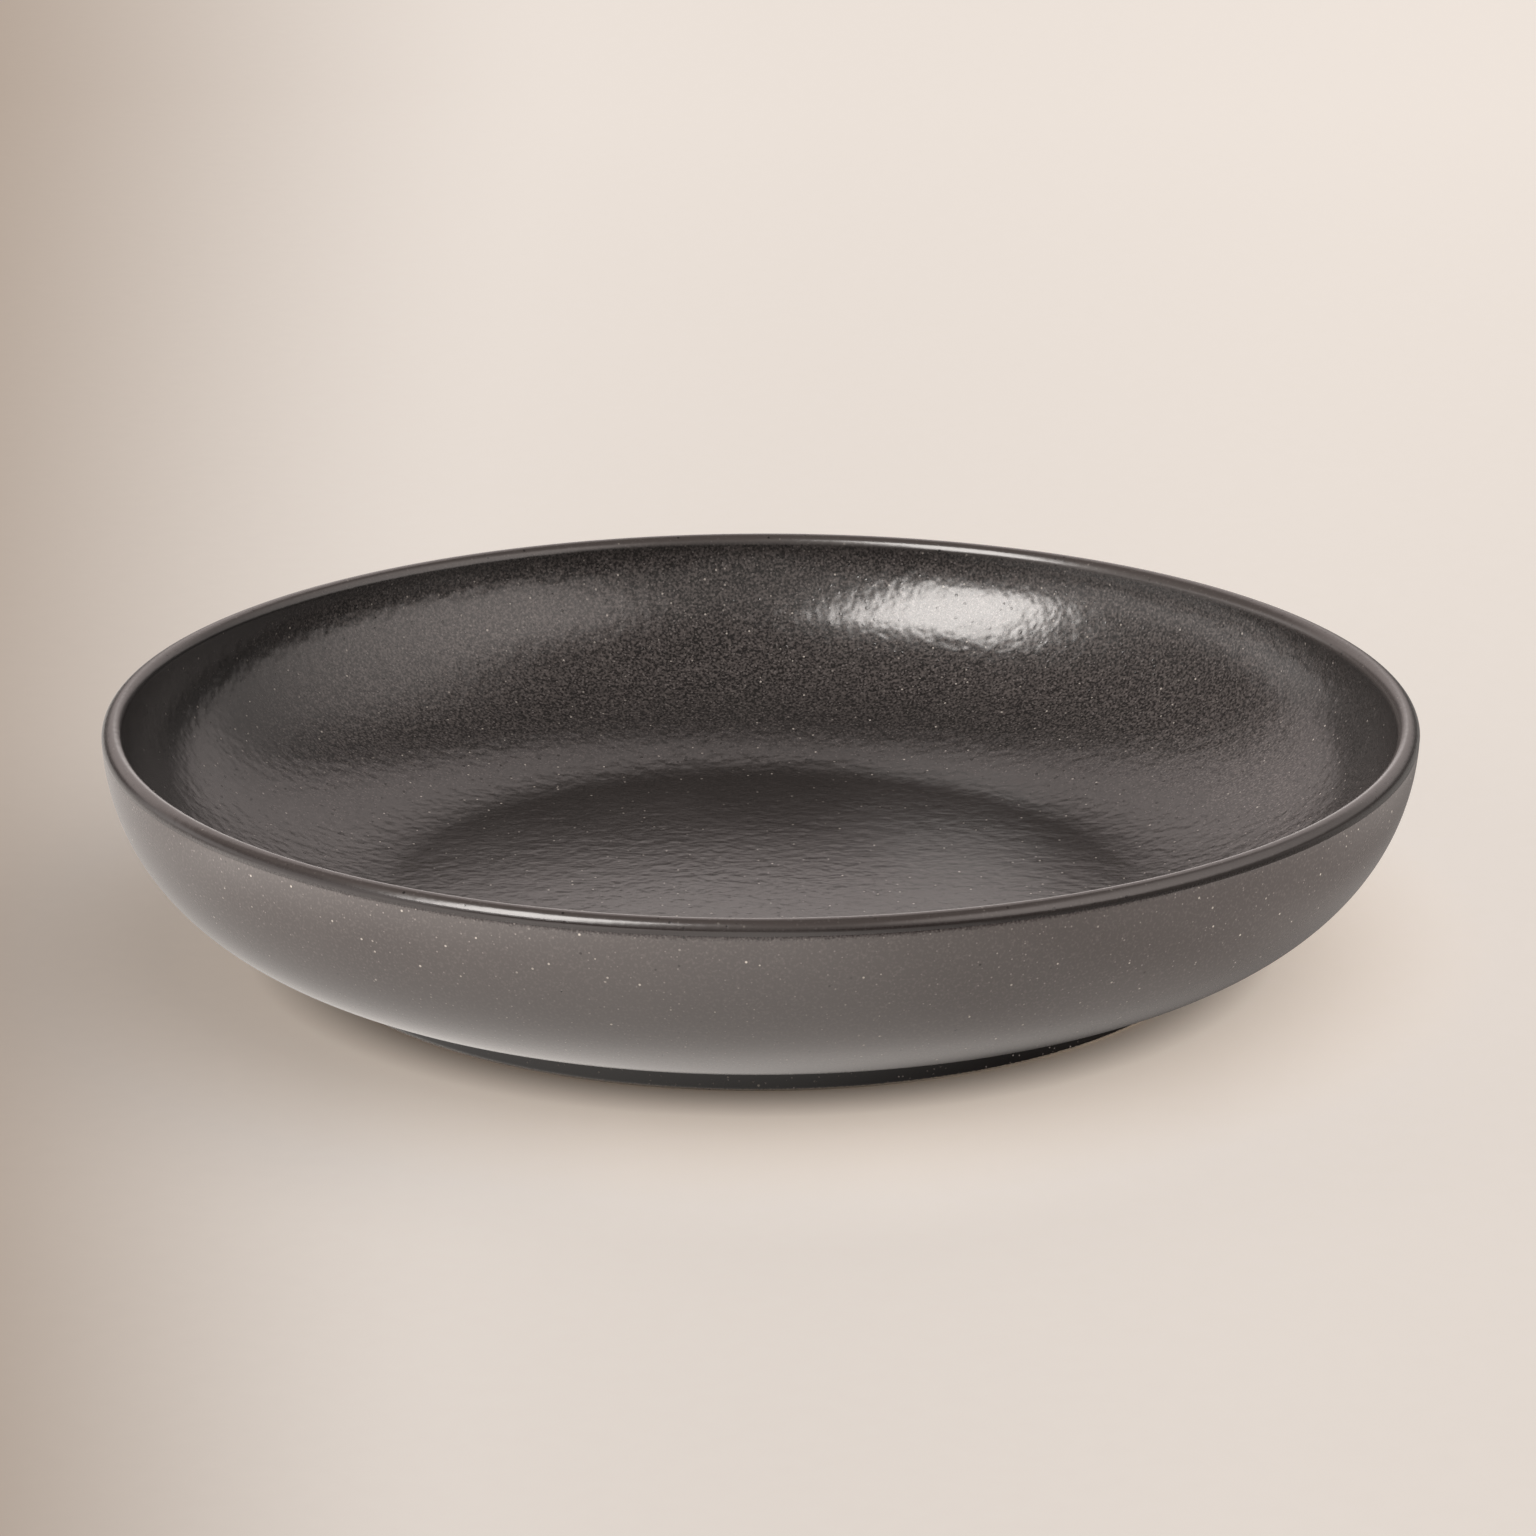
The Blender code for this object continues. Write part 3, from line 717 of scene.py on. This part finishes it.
def paper_shine(tree, x, y, reach):
    """A painted reflection: what the paper shows in the glaze alone, with painted shade to either side and
    close to the foot.
    """
    falling = node(tree, "ShaderNodeMapRange", {
        "Value": x, "From Min": 0.0, "From Max": 0.14, "To Min": PAPER_SHINE, "To Max": 0.12 * PAPER_SHINE},
        interpolation_type="SMOOTHSTEP")
    rising = node(tree, "ShaderNodeMapRange", {
        "Value": x, "From Min": -0.17, "From Max": -0.02, "To Min": 0.5, "To Max": 1.0},
        interpolation_type="SMOOTHSTEP")
    # Painted shadow in the reflection close to the foot, deepest on the right
    painted_shadow_at_foot = node(tree, "ShaderNodeMapRange", {
        "Value": x, "From Min": -0.09, "From Max": 0.06, "To Min": 1.0, "To Max": 0.05})
    near = node(tree, "ShaderNodeMapRange", {
        "Value": reach, "From Min": 0.112, "From Max": 0.138, "To Min": painted_shadow_at_foot.outputs[0], "To Max": 1.0},
        interpolation_type="SMOOTHSTEP")
    factors = [falling, near, rising]
    # Painted light in the reflection: it is paler again far out on the right, in front on the left, and
    # close on the right
    far_right = overlap(tree, (x, 0.195, 0.25), (y, -0.06, 0.02))
    front_left = overlap(tree, (x, -0.05, -0.15), (y, 0.0, -0.08), (reach, 0.19, 0.265))
    near_right = overlap(tree, (x, 0.06, 0.12), (x, 0.20, 0.16), (reach, 0.125, 0.165))
    for area, amount in ((far_right, 1.2), (front_left, 1.3), (near_right, 0.8)):
        factors.append(node(tree, "ShaderNodeMath", {0: area, 1: amount, 2: 1.0}, operation="MULTIPLY_ADD"))
    return overlap(tree, *[factor.outputs[0] for factor in factors])


def matt_paper():
    """Uncoated paper, rolled smooth: pale and quite matt. Part of its paleness is a painted glow shown to
    the camera alone, and what the glaze mirrors is a painted reflection, a paleness of its own; neither
    gives the bowl diffuse light."""
    material, tree = new_material("matt_paper")
    place = node(tree, "ShaderNodeTexCoord").outputs["Object"]
    spot = node(tree, "ShaderNodeSeparateXYZ", {"Vector": place})
    x, y = spot.outputs["X"], spot.outputs["Y"]
    reach = node(tree, "ShaderNodeVectorMath", {0: place}, operation="LENGTH").outputs["Value"]
    colour = paper_colour(tree, place, x, y, reach)
    seen = node(tree, "ShaderNodeLightPath").outputs
    matt = node(tree, "ShaderNodeBsdfDiffuse", {"Color": colour})
    # Painted light: the paper's glow, shown to the camera alone
    glow = node(tree, "ShaderNodeEmission", {"Color": colour, "Strength": painted_paper_glow(tree, x, y, reach)})
    pale = node(tree, "ShaderNodeAddShader", {0: matt.outputs[0], 1: glow.outputs[0]})
    shown = node(tree, "ShaderNodeMixShader", {
        0: seen["Is Camera Ray"], 1: matt.outputs[0], 2: pale.outputs[0]})
    # Painted reflection: the paleness shown in the glaze alone
    mirrored = node(tree, "ShaderNodeEmission", {
        "Color": linear(PAPER_MIRRORED), "Strength": paper_shine(tree, x, y, reach)})
    both = node(tree, "ShaderNodeMixShader", {
        0: seen["Is Glossy Ray"], 1: shown.outputs[0], 2: mirrored.outputs[0]})
    node(tree, "ShaderNodeOutputMaterial", {"Surface": both.outputs[0]})
    return material


def paper_floor():
    """A wide round sheet of paper that the bowl stands on."""
    turns = [2 * math.pi * i / PAPER_SIDES for i in range(PAPER_SIDES)]
    sheet = bpy.data.meshes.new("paper_floor")
    sheet.from_pydata([(PAPER_RADIUS * math.cos(turn), PAPER_RADIUS * math.sin(turn), 0) for turn in turns],
                      [], [list(range(PAPER_SIDES))])
    sheet.materials.append(matt_paper())
    floor = bpy.data.objects.new("paper_floor", sheet)
    bpy.context.scene.collection.objects.link(floor)
    return floor


floor = paper_floor()


def soft_box(name, azimuth, elevation, width, height, radiance):
    """A soft box aimed at the bowl; azimuth is measured from the camera's side, to the left."""
    light = bpy.data.lights.new(name, "AREA")
    light.shape = "RECTANGLE"
    light.size = width
    light.size_y = height
    light.energy = radiance * math.pi * width * height
    light.color = linear(LAMP_WHITE)[:3]
    lamp = bpy.data.objects.new(name, light)
    bpy.context.scene.collection.objects.link(lamp)
    turn, rise = math.radians(azimuth), math.radians(elevation)
    direction = Vector((-math.sin(turn) * math.cos(rise), -math.cos(turn) * math.cos(rise), math.sin(rise)))
    lamp.location = Vector((0, 0, AIM_HEIGHT)) + direction * LAMP_DISTANCE
    lamp.rotation_euler = direction.to_track_quat("Z", "Y").to_euler()
    lamp.visible_camera = False
    return lamp


def paper_wash(name, azimuth, elevation, spread, energy):
    """A wide, even wash of light over the paper."""
    light = bpy.data.lights.new(name, "SUN")
    light.energy = energy
    light.angle = math.radians(spread)
    light.color = linear(WASH_WHITE)[:3]
    lamp = bpy.data.objects.new(name, light)
    bpy.context.scene.collection.objects.link(lamp)
    lamp.rotation_euler = (math.radians(90 - elevation), 0, math.radians(-azimuth))
    return lamp


# Each lamp lights only what it is there for: the key box the inside, the side and rim boxes the
# outside, and the wash the paper, with the bowl's soft shadow on it
key_box = soft_box("key_box", azimuth=46.5, elevation=42.5, width=1.51, height=2.22, radiance=11.5)
side_box = soft_box("side_box", azimuth=56, elevation=42, width=2.4, height=1.5, radiance=17)
rim_box = soft_box("rim_box", azimuth=-92, elevation=10, width=2.4, height=1.5, radiance=13.5)
wash = paper_wash("paper_wash", azimuth=-75, elevation=62, spread=80, energy=1.1)
lit_by = {key_box: (inside_coat,), side_box: (outside_coat, under_coat, ring),
          rim_box: (outside_coat, under_coat, ring), wash: (floor,)}
for lamp, lit in lit_by.items():
    lamp.light_linking.receiver_collection = bpy.data.collections.new("lit_by_" + lamp.name)
    for piece in lit:
        lamp.light_linking.receiver_collection.objects.link(piece)


def studio_room():
    """The light of the room: a pale backdrop behind the bowl, dimmer towards the camera, dark overhead,
    and a tall panel on the right. The backdrop and the panel show in the gloss only, so that they throw
    no shadow forwards. Here x, y and z are the parts of the direction in which the room is seen."""
    world = bpy.data.worlds.new("studio")
    world.use_nodes = True
    tree = world.node_tree
    tree.nodes.clear()
    direction = node(tree, "ShaderNodeTexCoord").outputs["Generated"]
    direction = node(tree, "ShaderNodeSeparateXYZ", {"Vector": direction})
    x, y, z = [direction.outputs[axis] for axis in "XYZ"]
    aside = node(tree, "ShaderNodeMath", {0: x}, operation="ABSOLUTE").outputs[0]
    mirrored_ray = node(tree, "ShaderNodeLightPath").outputs["Is Glossy Ray"]
    low = (z, math.sin(math.radians(28)), math.sin(math.radians(6)))
    left = (x, -0.6, -0.9)
    # The backdrop has a brighter strip at the horizon and ends in two slopes, like a gable
    strip = overlap(tree, low, (aside, 0.10, 0.0))
    slope = node(tree, "ShaderNodeMath", {0: aside, 1: 0.79, 2: z}, operation="MULTIPLY_ADD")
    slope = node(tree, "ShaderNodeMath", {0: x, 1: 0.08, 2: slope.outputs[0]}, operation="MULTIPLY_ADD")
    dimmer = node(tree, "ShaderNodeMapRange", {
        "Value": x, "From Min": 0.15, "From Max": 0.5, "To Min": 1.0, "To Max": 0.78})
    gable = overlap(tree, (slope.outputs[0], 1.0, 0.86), dimmer.outputs[0])
    backdrop = layered(tree, ROOM_TOP, (gable, layered(tree, ROOM_BACK, (strip, ROOM_HORIZON))))
    behind = overlap(tree, (y, -0.6, 0.5), mirrored_ray)
    beside = overlap(tree, left, low, mirrored_ray)
    high = node(tree, "ShaderNodeMath", {0: x, 1: -0.15, 2: z}, operation="MULTIPLY_ADD")
    overhead = overlap(tree, (high.outputs[0], math.sin(math.radians(45)), math.sin(math.radians(57))))
    # Low down it is dark, apart from the middle and the left
    lit_low = 0.0
    for edge in ((z, 0.17, 0.30), (aside, 0.27, 0.06), left):
        lit_low = node(tree, "ShaderNodeMath", {0: lit_low, 1: overlap(tree, edge)},
                       operation="MAXIMUM").outputs[0]
    unlit = node(tree, "ShaderNodeMath", {0: 1.0, 1: lit_low}, operation="SUBTRACT")
    sunk = overlap(tree, unlit.outputs[0], mirrored_ray)
    # The panel is dimmer towards its far end
    leaning = node(tree, "ShaderNodeMath", {0: y, 1: 0.8, 2: z}, operation="MULTIPLY_ADD")
    fading = node(tree, "ShaderNodeMapRange", {
        "Value": y, "From Min": -0.4, "From Max": 0.8, "To Min": 1.0, "To Max": 0.1})
    panel = overlap(tree, (x, 0.22, 0.45), (y, -0.88, -0.62), (z, 0.13, 0.28), (z, 0.93, 0.80),
                    (leaning.outputs[0], 1.22, 1.00), mirrored_ray, fading.outputs[0])
    room = layered(tree, ROOM_FRONT, (behind, backdrop), (beside, ROOM_SIDE), (overhead, ROOM_TOP),
                   (sunk, ROOM_TOP), (panel, ROOM_PANEL))
    light = node(tree, "ShaderNodeBackground", {"Color": room, "Strength": 1.0})
    node(tree, "ShaderNodeOutputWorld", {"Surface": light.outputs["Background"]})
    return world


bpy.context.scene.world = studio_room()

# The camera, as it stood for the photograph
camera = bpy.data.objects.new("camera", bpy.data.cameras.new("camera"))
camera.data.sensor_width = 36
camera.data.lens = 140.625
camera.data.clip_start = 0.05
bpy.context.scene.collection.objects.link(camera)
across = Vector((0.99999628, -0.00188432, -0.00197189))
upward = Vector((0.00245257, 0.30492948, 0.95237177))
back = Vector((-0.00119328, -0.95237307, 0.30493297))
camera.matrix_world = Matrix((across, upward, back)).transposed().to_4x4()
camera.location = (0.0, -1.397956, 0.490131)
bpy.context.scene.camera = camera
bpy.context.scene.view_settings.view_transform = "Standard"
